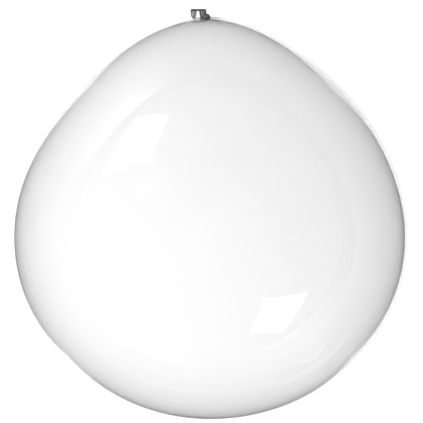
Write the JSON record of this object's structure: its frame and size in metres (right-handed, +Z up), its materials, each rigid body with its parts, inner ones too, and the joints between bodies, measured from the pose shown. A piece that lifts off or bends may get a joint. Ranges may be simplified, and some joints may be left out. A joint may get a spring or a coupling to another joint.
{
  "type": "balloon",
  "caption": "Blown-up clear film balloon with a gathered neck, tied off by a knot in its own neck, with a rolled rim and a folded lip; lies on its side on a small flat spot.",
  "frame": {"origin": "middle of the flat spot that the balloon lies on, under its widest section", "axes": "+Y along the balloon's axis from the round end to the knotted neck, +Z up away from the surface it lies on, +X to the right when the neck points away"},
  "size_m": [0.6, 0.6292, 0.596],
  "materials": {
    "clear_film": "glossy see-through film, smoky grey where it is bunched"
  },
  "bodies": {
    "root": {"balloon": "clear_film"}
  },
  "joints": []
}
